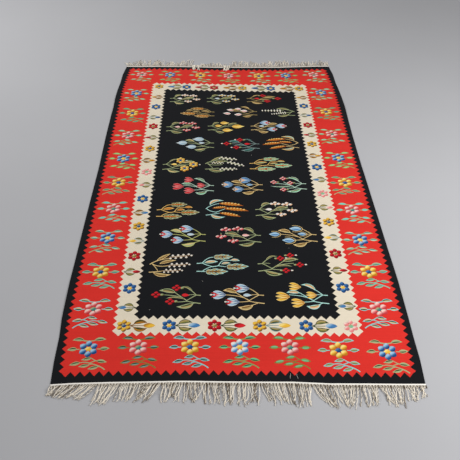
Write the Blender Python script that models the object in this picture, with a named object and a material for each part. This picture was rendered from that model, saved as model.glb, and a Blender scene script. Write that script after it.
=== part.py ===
"""Flat-woven wool rug with a knotted warp fringe at both ends, lying flat on a floor.

Metres, +Z up. The origin is on the floor under the middle of the cloth. +Y runs along the rug's
length to its far end and +X runs across it. Three solids: the cloth, and a fringe at each end,
whose strands grow from the narrow cream heading strip that closes the weave.
"""

import bpy
import numpy as np

# Cloth: corner to corner size, and its thickness
CORNER_WIDTH = 1.80
LENGTH = 3.06
CLOTH_THICK = 0.003

# How far the two long edges bow outwards from the straight line between the corners
SIDE_BOWS = {
    "columns": ("from_near_end", "left_bow", "right_bow"),
    "rows": (
        (0.00, 0.000, 0.000),
        (0.13, 0.009, 0.010),
        (0.26, 0.012, 0.012),
        (0.38, 0.023, 0.017),
        (0.64, 0.029, 0.022),
        (1.20, 0.028, 0.021),
        (1.65, 0.025, 0.018),
        (2.03, 0.031, 0.022),
        (2.28, 0.031, 0.028),
        (2.41, 0.028, 0.031),
        (2.54, 0.032, 0.030),
        (2.66, 0.030, 0.026),
        (2.79, 0.021, 0.017),
        (2.92, 0.018, 0.016),
        (3.06, 0.000, 0.000),
    ),
}

# How far the two ends draw inwards from the straight line between the corners
END_INSETS = {
    "columns": ("from_middle", "near_inset", "far_inset"),
    "rows": (
        (-0.900, 0.000, 0.000),
        (-0.795, 0.007, 0.004),
        (-0.618, 0.012, 0.002),
        (-0.442, 0.015, 0.004),
        (-0.265, 0.018, 0.011),
        (-0.088, 0.015, 0.020),
        (0.088, 0.013, 0.020),
        (0.265, 0.012, 0.020),
        (0.442, 0.003, 0.021),
        (0.618, 0.002, 0.010),
        (0.795, 0.000, 0.001),
        (0.900, 0.000, 0.000),
    ),
}

# Low lifts where the long edges don't lie quite flat
EDGE_LIFTS = {
    "columns": ("side", "from_near_end", "half_length", "height"),
    "rows": (
        (-1, 2.47, 0.26, 0.004),
        (-1, 0.52, 0.24, 0.003),
        (1, 2.40, 0.24, 0.005),
        (1, 1.55, 0.30, 0.003),
        (1, 0.62, 0.26, 0.003),
    ),
}
LIFT_REACH = 0.22  # how far a lift runs in from the edge

# Mesh steps of the cloth, across and along
CELLS_ACROSS = 20
CELLS_ALONG = 28

# Fringe: the heading strip, and one strand for each knotted bunch of warp
STRIP_WIDTH = 0.010
STRIP_GAP = 0.0004  # between the cloth's end and the strip
STRAND_COUNT = 118  # at each end
ROOT_WIDTH = 0.0052
TIP_WIDTH = 0.0030
TIP_THICK = 0.0022
SEGMENTS = 3  # of a strand that lies on the floor

# Groups of strands that lie together, from left to right. A lean is how far a tip lies to the
# right of its root, at the group's first and last strand; reach is how far it lies outwards.
NEAR_GROUPS = {
    "columns": ("until", "first_lean", "last_lean", "first_reach", "last_reach"),
    "rows": (
        (-0.666, -0.020, -0.095, 0.050, 0.072),
        (-0.563, -0.022, -0.055, 0.092, 0.096),
        (-0.466, -0.026, -0.022, 0.082, 0.078),
        (-0.365, -0.028, -0.051, 0.086, 0.090),
        (-0.262, 0.006, -0.036, 0.088, 0.086),
        (-0.172, -0.002, -0.008, 0.090, 0.094),
        (-0.069, 0.000, -0.008, 0.094, 0.098),
        (0.021, 0.014, -0.014, 0.106, 0.108),
        (0.111, 0.000, -0.018, 0.104, 0.108),
        (0.344, 0.034, -0.006, 0.098, 0.104),
        (0.580, 0.060, -0.026, 0.100, 0.106),
        (0.673, 0.010, -0.012, 0.096, 0.094),
        (0.798, 0.036, -0.020, 0.094, 0.100),
        (0.900, 0.008, -0.015, 0.078, 0.050),
    ),
}
FAR_GROUPS = {
    "columns": ("until", "first_lean", "last_lean", "first_reach", "last_reach"),
    "rows": (
        (-0.820, -0.034, -0.012, 0.070, 0.084),
        (-0.690, 0.012, -0.018, 0.098, 0.104),
        (-0.560, 0.020, -0.012, 0.104, 0.096),
        (-0.440, 0.010, -0.014, 0.078, 0.072),
        (-0.325, 0.016, -0.004, 0.104, 0.108),
        (-0.255, 0.006, -0.006, 0.066, 0.066),
        (-0.150, 0.012, 0.004, 0.052, 0.056),
        (-0.040, 0.010, -0.010, 0.068, 0.074),
        (0.018, 0.004, -0.006, 0.066, 0.066),
        (0.200, 0.024, 0.010, 0.092, 0.098),
        (0.310, 0.016, -0.006, 0.080, 0.076),
        (0.560, 0.030, 0.006, 0.100, 0.106),
        (0.775, 0.014, -0.012, 0.076, 0.072),
        (0.900, 0.022, 0.000, 0.084, 0.078),
    ),
}
# Two tufts of the far fringe are thrown back over the cloth: first and last root
TURNED_BACK = ((-0.325, -0.255), (-0.040, 0.018))
# Their path, outwards from the strip's edge and up to the strand's middle
TURN_PATH = {
    "columns": ("outwards", "height"),
    "rows": (
        (0.008, 0.0030),
        (0.012, 0.0080),
        (0.006, 0.0125),
        (-0.012, 0.0105),
        (-0.038, 0.0062),
        (-0.066, 0.0046),
    ),
}

WOOL_RED = (0.52, 0.045, 0.030, 1.0)
WARP_CREAM = (0.62, 0.56, 0.46, 1.0)


def column(table, name):
    """One named column of a table, as an array."""
    place = table["columns"].index(name)
    return np.array([row[place] for row in table["rows"]], float)


def side_edge(along, side):
    """X of a long edge (side -1 left, 1 right) at a distance from the near end."""
    name = "left_bow" if side < 0 else "right_bow"
    bow = np.interp(along, column(SIDE_BOWS, "from_near_end"), column(SIDE_BOWS, name))
    return side * (CORNER_WIDTH / 2 + bow)


def end_edge(from_middle, end):
    """Y of an end edge (end -1 near, 1 far) at a distance from the middle line."""
    name = "near_inset" if end < 0 else "far_inset"
    inset = np.interp(from_middle, column(END_INSETS, "from_middle"), column(END_INSETS, name))
    return end * (LENGTH / 2 - inset)


def lift(across, along):
    """Height of the cloth's underside: round-topped bumps that fade inwards from the long edges."""
    height = 0.0
    for side, centre, half_length, top in EDGE_LIFTS["rows"]:
        from_edge = abs(side * CORNER_WIDTH / 2 - across * CORNER_WIDTH)
        inwards = max(0.0, 1.0 - from_edge / LIFT_REACH)
        lengthways = max(0.0, 1.0 - ((along - centre) / half_length) ** 2)
        height += top * inwards**2 * lengthways**2
    return height


def cloth_point(across, along):
    """A point of the cloth's underside. across runs -0.5 to 0.5, along from 0 to LENGTH."""
    left = side_edge(along, -1)
    right = side_edge(along, 1)
    share = along / LENGTH
    near = end_edge(across * CORNER_WIDTH, -1)
    far = end_edge(across * CORNER_WIDTH, 1)
    x = left + (right - left) * (across + 0.5)
    y = near + (far - near) * share
    return x, y, lift(across, along)


def material(name, colour, roughness):
    """A plain Principled material."""
    made = bpy.data.materials.new(name)
    made.use_nodes = True
    shader = made.node_tree.nodes["Principled BSDF"]
    shader.inputs["Base Color"].default_value = colour
    shader.inputs["Roughness"].default_value = roughness
    shader.inputs["Metallic"].default_value = 0.0
    return made


def mesh_object(name, points, faces, finish):
    """A named mesh object from points and faces that already point outwards."""
    mesh = bpy.data.meshes.new(name)
    mesh.from_pydata([tuple(map(float, p)) for p in points], [], faces)
    mesh.validate()
    mesh.materials.append(finish)
    made = bpy.data.objects.new(name, mesh)
    bpy.context.scene.collection.objects.link(made)
    return made


def table_steps(table, name, low, high, cells):
    """Even steps from low to high, each table position swapped in for the nearest step."""
    steps = np.linspace(low, high, cells + 1)
    for place in column(table, name)[1:-1]:
        steps[1 + np.abs(steps[1:-1] - place).argmin()] = place
    return np.sort(steps)


def build_cloth(finish):
    """The woven cloth: a thin closed sheet with the uneven outline of the tables."""
    across = table_steps(END_INSETS, "from_middle", -CORNER_WIDTH / 2, CORNER_WIDTH / 2, CELLS_ACROSS)
    along = table_steps(SIDE_BOWS, "from_near_end", 0.0, LENGTH, CELLS_ALONG)
    columns, rows = len(across), len(along)
    under = [cloth_point(x / CORNER_WIDTH, y) for y in along for x in across]
    top = [(x, y, z + CLOTH_THICK) for x, y, z in under]
    top_start = len(under)
    faces = []
    for row in range(rows - 1):
        for place in range(columns - 1):
            a = row * columns + place
            b, c, d = a + 1, a + columns + 1, a + columns
            faces.append((a, d, c, b))
            faces.append((a + top_start, b + top_start, c + top_start, d + top_start))
    near = list(range(columns))
    right = [row * columns + columns - 1 for row in range(rows)]
    far = [(rows - 1) * columns + place for place in reversed(range(columns))]
    left = [row * columns for row in reversed(range(rows))]
    rim = near[:-1] + right[:-1] + far[:-1] + left[:-1]
    for a, b in zip(rim, rim[1:] + rim[:1]):
        faces.append((a, b, b + top_start, a + top_start))
    return mesh_object("cloth", under + top, faces, finish)


def group_values(root, groups):
    """Lean and reach of the strand whose root is at this distance from the middle line."""
    ends = column(groups, "until")
    group = int(np.searchsorted(ends, root))
    start = ends[group - 1] if group else -CORNER_WIDTH / 2
    share = (root - start) / (ends[group] - start)
    first = groups["rows"][group]
    lean = first[1] + (first[2] - first[1]) * share
    reach = first[3] + (first[4] - first[3]) * share
    return lean, reach


def strand_rings(root, edge, end, lean, reach):
    """Rings of four points along a strand on the floor. Its lean grows with the square of the
    distance, its width and thickness shrink evenly to the tip, and its underside stays level."""
    rings = []
    for step in range(1, SEGMENTS + 1):
        share = step / SEGMENTS
        wide = ROOT_WIDTH + (TIP_WIDTH - ROOT_WIDTH) * share
        thick = CLOTH_THICK + (TIP_THICK - CLOTH_THICK) * share
        x = root + lean * share * (0.5 + 0.5 * share)
        y = edge + end * reach * share
        slope = lean * (0.5 + share) / reach
        half_x = wide / 2 / np.hypot(1.0, slope)
        half_y = -end * half_x * slope
        high = [(x - half_x, y - half_y, thick), (x + half_x, y + half_y, thick)]
        low = [(p[0], p[1], 0.0) for p in reversed(high)]
        rings.append(high + low)
    return rings


def turned_rings(root, edge, lean):
    """Rings along a strand that bends up from the strip and back over the cloth. Each ring is
    square to the path in its upright plane."""
    outwards = column(TURN_PATH, "outwards")
    height = column(TURN_PATH, "height")
    run = np.gradient(outwards)
    rise = np.gradient(height)
    rings = []
    for step in range(len(outwards)):
        share = (step + 1) / len(outwards)
        half_wide = (ROOT_WIDTH + (TIP_WIDTH - ROOT_WIDTH) * share) / 2
        half_thick = (CLOTH_THICK + (TIP_THICK - CLOTH_THICK) * share) / 2
        across, up = np.array([-rise[step], run[step]]) / np.hypot(run[step], rise[step]) * half_thick
        x = root + lean * share
        y = edge + outwards[step]
        z = height[step]
        high = [(x - half_wide, y + across, z + up), (x + half_wide, y + across, z + up)]
        low = [(x + half_wide, y - across, z - up), (x - half_wide, y - across, z - up)]
        rings.append(high + low)
    return rings


def is_turned(root):
    """True where a root belongs to a tuft that is thrown back over the cloth."""
    return any(first < root < last for first, last in TURNED_BACK)


def build_fringe(name, end, groups, finish):
    """One end's heading strip with its strands, as a single closed solid. The strip is a row of
    boxes; each strand takes the place of one box's outer face."""
    pitch = CORNER_WIDTH / STRAND_COUNT
    roots = -CORNER_WIDTH / 2 + pitch * (np.arange(STRAND_COUNT) + 0.5)
    edges_of_roots = np.stack([roots - ROOT_WIDTH / 2, roots + ROOT_WIDTH / 2], 1).ravel()
    stations = np.concatenate([[-CORNER_WIDTH / 2], edges_of_roots, [CORNER_WIDTH / 2]])
    points = []
    for x in stations:
        inner = end_edge(x, end) + end * STRIP_GAP
        outer = inner + end * STRIP_WIDTH
        points += [(x, inner, 0.0), (x, inner, CLOTH_THICK), (x, outer, CLOTH_THICK), (x, outer, 0.0)]
    faces = [(0, 1, 2, 3)]
    for place in range(len(stations) - 1):
        a, b = 4 * place, 4 * (place + 1)
        faces.append((a, b, b + 1, a + 1))
        faces.append((a + 1, b + 1, b + 2, a + 2))
        faces.append((a + 3, b + 3, b, a))
        carries_strand = place % 2 == 1
        if not carries_strand:
            faces.append((a + 2, b + 2, b + 3, a + 3))
            continue
        root = roots[place // 2]
        edge = end_edge(root, end) + end * (STRIP_GAP + STRIP_WIDTH)
        lean, reach = group_values(root, groups)
        if end > 0 and is_turned(root):
            rings = turned_rings(root, edge, lean)
        else:
            rings = strand_rings(root, edge, end, lean, reach)
        ring = (a + 2, b + 2, b + 3, a + 3)
        for corners in rings:
            start = len(points)
            points += corners
            grown = tuple(range(start, start + 4))
            for side in range(4):
                following = (side + 1) % 4
                faces.append((ring[side], ring[following], grown[following], grown[side]))
            ring = grown
        faces.append(ring)
    last = 4 * (len(stations) - 1)
    faces.append((last + 3, last + 2, last + 1, last))
    if end < 0:
        faces = [tuple(reversed(face)) for face in faces]
    return mesh_object(name, points, faces, finish)


def clear_scene():
    """Removes every object, so that only the rug is built."""
    for old in list(bpy.data.objects):
        bpy.data.objects.remove(old)


def main():
    clear_scene()
    wool = material("woven_wool", WOOL_RED, 0.95)
    warp = material("warp_yarn", WARP_CREAM, 0.9)
    build_cloth(wool)
    build_fringe("near_fringe", -1, NEAR_GROUPS, warp)
    build_fringe("far_fringe", 1, FAR_GROUPS, warp)


main()
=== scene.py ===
"""Flat-woven floral kilim rug on a plain floor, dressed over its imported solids.

Metres, +Z up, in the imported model's own frame: the origin is on the floor under the middle of the
cloth, +Y runs to the far end and +X to the right. Sizes of woven shapes are given in millimetres.
"""

import math

import bpy
import mathutils
import numpy as np
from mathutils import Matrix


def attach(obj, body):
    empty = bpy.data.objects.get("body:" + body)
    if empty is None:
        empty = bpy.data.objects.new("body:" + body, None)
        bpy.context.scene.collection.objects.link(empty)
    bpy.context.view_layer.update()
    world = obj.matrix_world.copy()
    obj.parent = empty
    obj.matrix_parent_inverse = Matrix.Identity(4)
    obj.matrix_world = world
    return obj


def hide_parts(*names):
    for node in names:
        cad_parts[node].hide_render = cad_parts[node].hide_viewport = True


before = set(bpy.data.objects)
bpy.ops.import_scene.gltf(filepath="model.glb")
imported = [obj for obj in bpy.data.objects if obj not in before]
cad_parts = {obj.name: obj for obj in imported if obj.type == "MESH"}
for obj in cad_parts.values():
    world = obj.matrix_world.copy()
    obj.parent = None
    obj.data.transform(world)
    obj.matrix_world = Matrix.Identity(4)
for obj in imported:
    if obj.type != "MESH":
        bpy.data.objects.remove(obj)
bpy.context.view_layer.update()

MM = 0.001

# Cloth: corner to corner size and thickness, as in the part
CORNER_WIDTH = 1.80
LENGTH = 3.06
CLOTH_THICK = 0.003
RIPPLE_HEIGHT = 0.0008
# Its grid: distances from an edge, of which the first three round the rim by a share of the
# thickness; where the even part begins, as a share of the width and in metres of the length; and
# the even part's columns and rows
RIM_STEPS = np.array([0.0, 0.0006, 0.0016, 0.004])
RIM_ROUNDING = 0.42
EVEN_PART = 0.02
GRID_COLUMNS = 72
GRID_ROWS = 130

# How far the two long edges bow outwards: millimetres from the near end, left bow, right bow
SIDE_BOWS = MM * np.array([
    (0, 0, 0), (130, 9, 10), (260, 12, 12), (380, 23, 17), (640, 29, 22), (1200, 28, 21),
    (1650, 25, 18), (2030, 31, 22), (2280, 31, 28), (2410, 28, 31), (2540, 32, 30), (2660, 30, 26),
    (2790, 21, 17), (2920, 18, 16), (3060, 0, 0),
])
# How far the two ends draw inwards: millimetres from the middle line, near inset, far inset
END_INSETS = MM * np.array([
    (-900, 0, 0), (-795, 7, 4), (-618, 12, 2), (-442, 15, 4), (-265, 18, 11), (-88, 15, 20),
    (88, 13, 20), (265, 12, 20), (442, 3, 21), (618, 2, 10), (795, 0, 1), (900, 0, 0),
])
# Low lifts of the long edges: side, metres from the near end, half length, height
EDGE_LIFTS = (
    (-1, 2.47, 0.26, 0.004),
    (-1, 0.52, 0.24, 0.003),
    (1, 2.40, 0.24, 0.005),
    (1, 1.55, 0.30, 0.003),
    (1, 0.62, 0.26, 0.003),
)
LIFT_REACH = 0.22

# How the drawn pattern follows the cloth: it narrows at the ends by a share that falls to nothing
# at a reach, its ends bow with the cloth's ends, and its far end is woven a little askew
PULL_IN = 0.031
PULL_POWER = 1.3
PULL_REACH = 0.40
BEND_REACH = 0.6
LAYING_ROUNDS = 4
# Slope across the rug of the far part: metres from the rug's middle, slope
SKEWS = np.array([
    (0.50, 0.0), (0.90, 0.024), (1.12, 0.035), (1.23, 0.0225), (1.48, 0.0085),
])

# Weave: distance between warps, and between weft picks as they show
WARP_PITCH = 0.0024
PICK_PITCH = 0.0011
# Shares by which the single picks and the dye lots of the wool differ, and the cotton's stains
STREAKS = 0.16
DYE_LOTS = 0.14
STAINS = 0.10
# Length of one turn of a cotton cord's plies
PLY_TWIST = 0.0032

# Heading strip, and its gap from the cloth
STRIP_WIDTH = 0.010
STRIP_GAP = 0.0004
STRIP_THICK = CLOTH_THICK * 1.05
STRIP_STEPS = 160

# Fringe: one knotted lock for each strand of the part. Its tufts start a little beside its middle,
# and tufts and knots start a little inside the strip's outer edge. A stub is a short dark cord beside
# a knot that paints the shadow between the knots
LOCK_COUNT = 118
TUFTS_IN_A_LOCK = 2
TUFT_SPREAD = 0.0034
TUFT_DEPTH = 0.001
KNOT_DEPTH = 0.0012
KNOT_STEPS = 6
SHADOW_STUB_LENGTH = 0.015
SHADOW_STUB_RADIUS = 0.0024
CORD_RADIUS = 0.0015
CORD_SIDES = 6
CORD_STEPS = 15
# How much thicker the cords are that are thrown back
THROWN_CORD = 1.7
# Painted light and shade: of the cords, one in five dark for the shade between the strands, the
# others lighter than their yarn; of those that are thrown back and of the knots, lighter than their
# yarn; of the stubs at the near and the far end, painted shadow; then the share of the light that no
# colour passes
CORD_PAINTED_SHADES = (0.22, 1.10, 1.18, 1.22, 1.22)
THROWN_PAINTED_LIGHT = 1.25
KNOT_PAINTED_LIGHT = 1.15
SHADOW_STUB_SHADES = {-1: 0.12, 1: 0.8}
BRIGHTEST = 0.97

# Locks that lie together, from left to right, in millimetres: place of the group's right end,
# first and last lean to the right, first and last reach outwards
NEAR_GROUPS = MM * np.array([
    (-666, -20, -95, 50, 72), (-563, -22, -55, 92, 96), (-466, -26, -22, 82, 78),
    (-365, -28, -51, 86, 90), (-262, 6, -36, 88, 86), (-172, -2, -8, 90, 94), (-69, 0, -8, 94, 98),
    (21, 14, -14, 106, 108), (111, 0, -18, 104, 108), (344, 34, -6, 98, 104), (580, 60, -26, 100, 106),
    (673, 10, -12, 96, 94), (798, 36, -20, 94, 100), (900, 8, -15, 78, 50),
])
FAR_GROUPS = MM * np.array([
    (-820, -34, -12, 70, 84), (-690, 12, -18, 98, 104), (-560, 20, -12, 104, 96),
    (-440, 10, -14, 78, 72), (-325, 16, -4, 104, 108), (-255, 6, -6, 66, 66), (-150, 12, 4, 52, 56),
    (-40, 10, -10, 68, 74), (18, 4, -6, 66, 66), (200, 24, 10, 92, 98), (310, 16, -6, 80, 76),
    (560, 30, 6, 100, 106), (775, 14, -12, 76, 72), (900, 22, 0, 84, 78),
])
# How far the tufts of the near and the far end stray, and their shares of their lock's reach
STRAYS = {-1: 0.013, 1: 0.022}
LENGTHS = {-1: (0.84, 1.18), 1: (0.62, 1.24)}
# From where to where along the far end the tufts are thrown back over the cloth
TURNED_BACK = ((-0.325, -0.255), (-0.040, 0.018))
# Path of such a tuft in millimetres: outwards from the strip's edge, and height
TURN_PATH = MM * np.array([
    (0, 2), (8, 3), (12, 8), (6, 12.5), (-12, 10.5), (-38, 6.8), (-66, 5.2),
])

# Loose threads by the near end and specks on the field: x, y, angle and length
LINT = np.array([
    (0.256, -1.490, 1.35, 0.028), (0.288, -1.492, 1.85, 0.026), (-0.515, -0.130, 0.4, 0.010),
    (-0.420, 0.905, 1.1, 0.006), (-0.180, -0.905, 2.0, 0.006), (0.150, 0.245, 0.2, 0.007),
    (0.330, -0.655, 2.6, 0.006), (-0.462, -1.100, 0.9, 0.006),
])
LINT_RADIUS = 0.0006
LINT_LIFT = 0.0009
LINT_STEPS = 7

# Toothed border lines, from the outside in: middle and half size across and along, then tooth
# pitch and depth on the sides, and on the ends
BORDER_LINES = {
    "red": (-0.0020, 0.8822, -0.0018, 1.4832, 0.0420, 0.023, 0.0476, 0.027),
    "cream": (0.0064, 0.6460, -0.0135, 1.2445, 0.0409, 0.020, 0.0478, 0.024),
    "field": (0.0071, 0.5403, -0.0142, 1.1398, 0.0409, 0.020, 0.0478, 0.024),
}

# Yarn colours as they look in even light
YARNS = {
    "black": (22, 23, 26),
    "red": (219, 50, 42),
    "cream": (229, 217, 194),
    "warp": (250, 238, 218),
    "heading": (255, 250, 240),
    "white": (238, 232, 222),
    "sky": (166, 198, 218),
    "blue": (68, 124, 178),
    "navy": (32, 72, 124),
    "butter": (250, 224, 136),
    "gold": (236, 184, 62),
    "ochre": (190, 124, 34),
    "blush": (244, 212, 200),
    "pink": (232, 134, 132),
    "rose": (200, 64, 70),
    "scarlet": (214, 40, 46),
    "wine": (150, 20, 30),
    "sage": (164, 174, 128),
    "olive": (124, 124, 62),
    "moss": (58, 72, 40),
    "forest": (22, 66, 52),
    "aqua": (130, 204, 202),
    "pale mint": (188, 218, 196),
    "mint": (122, 192, 148),
    "teal": (62, 128, 122),
    "tan": (220, 190, 130),
    "brown": (124, 84, 38),
    "slate": (132, 152, 148),
    "ice": (206, 216, 218),
    "straw": (238, 206, 130),
    "peach": (238, 186, 142),
    "amber": (204, 130, 48),
    "khaki": (172, 150, 96),
    "spring": (164, 212, 134),
    "grass": (122, 162, 98),
    "sea": (98, 200, 176),
    "lime": (190, 192, 116),
    "honey": (230, 188, 108),
    "pale aqua": (176, 222, 212),
    "copper": (192, 102, 34),
    "lichen": (198, 202, 168),
}
YARN_NAMES = list(YARNS)

# Leaf finishes: outline, one half, other half
LEAVES = {
    "sage": ("grass", "spring", "grass"),
    "reed": ("sage", "moss", "sage"),
    "olive": ("olive", "forest", "slate"),
    "aqua": ("aqua", "forest", "slate"),
    "mint": ("grass", "pale mint", "mint"),
    "teal": ("grass", "forest", "mint"),
    "fern": ("grass", "mint", "teal"),
    "grove": ("olive", "mint", "grass"),
    "pale": ("aqua", "olive", "sage"),
    "spring": ("grass", "spring", "spring"),
    "dusk": ("sage", "teal", "grass"),
    "sea": ("sage", "aqua", "sea"),
    "frost": ("sage", "pale mint", "teal"),
    "bright": ("sea", "teal", "sage"),
    "autumn": ("aqua", "tan", "forest"),
    "bud green": ("moss", "olive", "khaki"),
    "bud tan": ("brown", "ochre", "moss"),
    "bud pale": ("slate", "moss", "khaki"),
    "field sage": ("sage", "moss", "khaki"),
    "olive tan": ("sage", "tan", "moss"),
    "tan": ("tan", "brown", "khaki"),
    "brown": ("khaki", "tan", "brown"),
    "mint brown": ("pale mint", "brown", "mint"),
    "gold aqua": ("tan", "aqua", "ochre"),
    "lime": ("lime", "tan", "sage"),
    "pale aqua": ("pale aqua", "khaki", "peach"),
    "honey": ("honey", "copper", "amber"),
    "slate teal": ("slate", "teal", "forest"),
    "honey mint": ("honey", "mint", "copper"),
}
# Flower finishes: light, middle and dark of the petals, then light and dark of the eye
FLOWERS = {
    "blue": ("sky", "blue", "navy", "butter", "gold"),
    "light blue": ("white", "sky", "blue", "butter", "gold"),
    "yellow": ("butter", "gold", "ochre", "blue", "navy"),
    "pink": ("blush", "pink", "rose", "sage", "teal"),
    "red": ("scarlet", "scarlet", "wine", "tan", "olive"),
    "deep blue": ("blue", "navy", "navy", "butter", "gold"),
    "deep yellow": ("gold", "gold", "brown", "slate", "navy"),
    "deep red": ("scarlet", "wine", "wine", "tan", "olive"),
    "soft pink": ("blush", "pink", "pink", "sage", "mint"),
}
# The deeper yarns in which the cream border's flowers are woven
DEEPER = {"blue": "deep blue", "yellow": "deep yellow", "red": "deep red", "pink": "soft pink"}

# Studio: the floor's reach and grey, the sky's strength, and the lights: name, place, the point
# that each looks at, size and power
FLOOR_REACH = 14.0
FLOOR_GREY = 0.44
SKY = 0.38
LIGHTS = (
    ("key_light", (3.3, -1.5, 2.6), (1.1, -0.7, 0), 2.2, 130),
    ("fill_light", (-3.8, 2.2, 3.4), (-1.6, 0.9, 0), 2.4, 110),
)
# Camera: place, turns in degrees, lens in millimetres, and sideways shift
CAMERA_PLACE = (-0.1019, -2.7289, 2.2967)
CAMERA_TURNS = (44.16, 0.0, -0.10)
LENS = 40.49
SHIFT = 0.028


# Shape of the cloth


def side_edge(along, side):
    """X of a long edge: half the corner width plus the bow of the table, to the left or right."""
    bow = np.interp(along, SIDE_BOWS[:, 0], SIDE_BOWS[:, 1 if side < 0 else 2])
    return side * (CORNER_WIDTH / 2 + bow)


def end_inset(x, end):
    """How far an end draws inwards at a distance from the middle line."""
    return np.interp(x, END_INSETS[:, 0], END_INSETS[:, 1 if end < 0 else 2])


def end_edge(x, end):
    """Y of an end edge: half the length less the inset of the table."""
    return end * (LENGTH / 2 - end_inset(x, end))


def lift(x, y):
    """Height of the underside: for each edge lift, its height times the square of how far the
    point is inside its reach from the edge, times the square of one less the squared distance
    along the edge."""
    height = np.zeros(np.broadcast(x, y).shape)
    along = y + LENGTH / 2
    for side, centre, half_length, top in EDGE_LIFTS:
        from_edge = np.abs(side * CORNER_WIDTH / 2 - x)
        inwards = np.clip(1 - from_edge / LIFT_REACH, 0, 1)
        lengthways = np.clip(1 - ((along - centre) / half_length) ** 2, 0, 1)
        height = height + top * inwards**2 * lengthways**2
    return height


def ripple(x, y):
    """Slight unevenness of a laid flatweave: two crossed sines, always upwards, up to 0.8 mm."""
    broad = np.sin(5.1 * x + 1.7 * np.sin(2.3 * y)) * np.sin(4.3 * y + 0.6)
    fine = np.sin(17 * x + 1.1) * np.sin(13 * y - 2 * x)
    return RIPPLE_HEIGHT / 2 * (1 + 0.75 * broad + 0.25 * fine)


def near_to_end(y, reach):
    """1 at an end of the cloth, falling evenly to 0 at the reach from it, for both ends."""
    near = np.clip(1 - (y + LENGTH / 2) / reach, 0, 1)
    far = np.clip(1 - (LENGTH / 2 - y) / reach, 0, 1)
    return near, far


def pull(y):
    """How much the pattern narrows: one less a small share that grows to the ends."""
    near, far = near_to_end(y, PULL_REACH)
    return 1 - PULL_IN * (near**PULL_POWER + far**PULL_POWER)


def bend(x, y):
    """How far the pattern is moved along the rug: with the ends' insets, fading inwards, and
    askew in the far part."""
    near, far = near_to_end(y, BEND_REACH)
    return end_inset(x, -1) * near - end_inset(x, 1) * far - x * np.interp(y, SKEWS[:, 0], SKEWS[:, 1])


def pattern_place(x, y):
    """Where a point of the cloth is on the straight drawing of the pattern."""
    return x / pull(y), y - bend(x, y)


def lay(u, v, height):
    """Puts points of the straight drawing on the laid cloth, at a height over its top. The pull
    and the bend are undone by a few rounds of laying."""
    x = np.array(u, float)
    y = np.array(v, float)
    for _ in range(LAYING_ROUNDS):
        y = v + bend(x, y)
        x = u * pull(y)
    z = lift(x, y) + ripple(x, y) + CLOTH_THICK + height
    return np.stack([x, y, z], -1)


# Meshes


def grid_quads(patches, along, across, closed=False):
    """Corner numbers of the quads of many grids, each along by across points. A closed grid also
    joins its last column to its first."""
    step = np.arange(along - 1)[:, None]
    column = np.arange(across if closed else across - 1)[None, :]
    after = (column + 1) % across
    first = step * across + column
    quad = np.stack([first, first + across, (step + 1) * across + after, step * across + after], -1)
    start = np.arange(patches)[:, None, None, None] * along * across
    return (start + quad[None]).reshape(-1, 4)


def make_piece(name, points, quads, finish, flat, colours=None):
    """A piece from arrays of points and quads, with a UV map called flat and, where colours are
    given, a colour attribute called yarn, one value for each quad corner."""
    mesh = bpy.data.meshes.new(name)
    mesh.vertices.add(len(points))
    mesh.vertices.foreach_set("co", np.ascontiguousarray(points, np.float32).ravel())
    mesh.loops.add(quads.size)
    mesh.loops.foreach_set("vertex_index", quads.astype(np.int32).ravel())
    mesh.polygons.add(len(quads))
    mesh.polygons.foreach_set("loop_start", np.arange(0, quads.size, 4, dtype=np.int32))
    mesh.update(calc_edges=True)
    layer = mesh.uv_layers.new(name="flat")
    layer.uv.foreach_set("vector", np.ascontiguousarray(flat, np.float32).ravel())
    if colours is not None:
        attribute = mesh.color_attributes.new("yarn", "FLOAT_COLOR", "CORNER")
        attribute.data.foreach_set("color", np.ascontiguousarray(colours, np.float32).ravel())
    mesh.shade_smooth()
    mesh.materials.append(finish)
    piece = bpy.data.objects.new(name, mesh)
    bpy.context.scene.collection.objects.link(piece)
    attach(piece, "root")
    return piece


def linear(display):
    """Display colour from 0 to 255 as linear light, by the usual two-part curve."""
    c = np.asarray(display, float) / 255
    return np.where(c <= 0.04045, c / 12.92, ((c + 0.055) / 1.055) ** 2.4)


def rgba(name):
    """A yarn's linear colour with full alpha."""
    return (*linear(YARNS[name]), 1.0)


# Materials


def add(tree, kind, *inputs, **settings):
    """A node with its settings, its inputs linked or set in order. None leaves an input alone."""
    made = tree.nodes.new(kind)
    for name, value in settings.items():
        setattr(made, name, value)
    for socket, value in zip(made.inputs, inputs):
        if isinstance(value, bpy.types.NodeSocket):
            tree.links.new(value, socket)
        elif value is not None:
            socket.default_value = value
    return made


def set_values(node, values):
    """Sets plain values on a node's own sockets, by their names."""
    for name, value in values.items():
        node.inputs[name].default_value = value


def calc(tree, operation, *inputs):
    """The result of a Math node."""
    return add(tree, "ShaderNodeMath", *inputs, operation=operation).outputs[0]


def blended(tree, share, one, two, blend="MIX"):
    """The result of a colour Mix node: share, first and second colour."""
    made = tree.nodes.new("ShaderNodeMix")
    made.data_type = "RGBA"
    made.blend_type = blend
    for name, value in (("Factor", share), ("A", one), ("B", two)):
        kind = "VALUE" if name == "Factor" else "RGBA"
        socket = next(s for s in made.inputs if s.name == name and s.type == kind)
        if isinstance(value, bpy.types.NodeSocket):
            tree.links.new(value, socket)
        else:
            socket.default_value = value
    return next(s for s in made.outputs if s.type == "RGBA")


def noise(tree, vector, scale, detail):
    """Noise between 0 and 1 on a vector."""
    made = add(tree, "ShaderNodeTexNoise")
    tree.links.new(vector, made.inputs["Vector"])
    set_values(made, {"Scale": scale, "Detail": detail})
    return made.outputs[0]


def new_finish(name):
    """A material with its node tree and its Principled shader, ready for its nodes."""
    made = bpy.data.materials.new(name)
    made.use_nodes = True
    return made, made.node_tree, made.node_tree.nodes["Principled BSDF"]


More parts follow.
